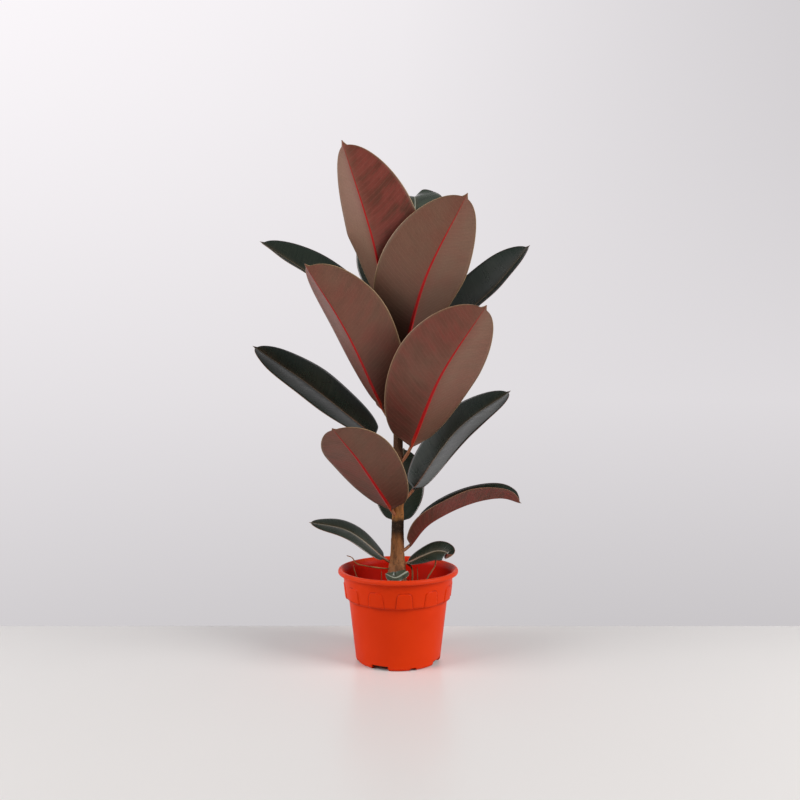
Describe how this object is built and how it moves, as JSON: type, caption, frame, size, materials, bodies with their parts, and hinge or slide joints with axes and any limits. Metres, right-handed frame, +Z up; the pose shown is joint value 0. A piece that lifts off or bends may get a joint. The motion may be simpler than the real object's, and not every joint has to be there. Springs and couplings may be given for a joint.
{
  "type": "potted rubber plant",
  "caption": "Young rubber plant with broad folded leaves on an upright woody stem, standing in a round tapered plastic nursery pot with soil and surface roots.",
  "frame": {"origin": "centre of the pot's flat underside, where the plant stands", "axes": "+Z up along the stem, -Y towards the front, +X to the right seen from the front"},
  "size_m": [0.3856, 0.2305, 0.6584],
  "materials": {
    "pot": "satin moulded plastic",
    "leaf": "waxy, dark green above and brown-red below",
    "stem": "fissured bark",
    "root": "thin dry root",
    "soil": "coarse potting mix",
    "bud": "waxy red sheath"
  },
  "bodies": {
    "root": {"leaf_01_basal": "leaf", "leaf_02_right": "leaf", "leaf_03_left": "leaf", "leaf_04_right": "leaf", "leaf_05_back": "leaf", "leaf_06_left": "leaf", "leaf_07_right": "leaf", "leaf_08_right": "leaf", "leaf_09_left": "leaf", "leaf_10_back": "leaf", "leaf_11_left": "leaf", "leaf_12_right": "leaf", "leaf_13_left": "leaf", "leaf_14_right": "leaf", "leaf_15_back": "leaf", "leaf_16_left": "leaf", "leaf_17_back": "leaf", "pot": "pot", "root_01_left": "root", "root_02_left": "root", "root_03_front": "root", "root_04_right": "root", "root_05_right": "root", "root_06_right": "root", "soil": "soil", "stem": "stem", "terminal_bud": "bud"}
  },
  "joints": []
}
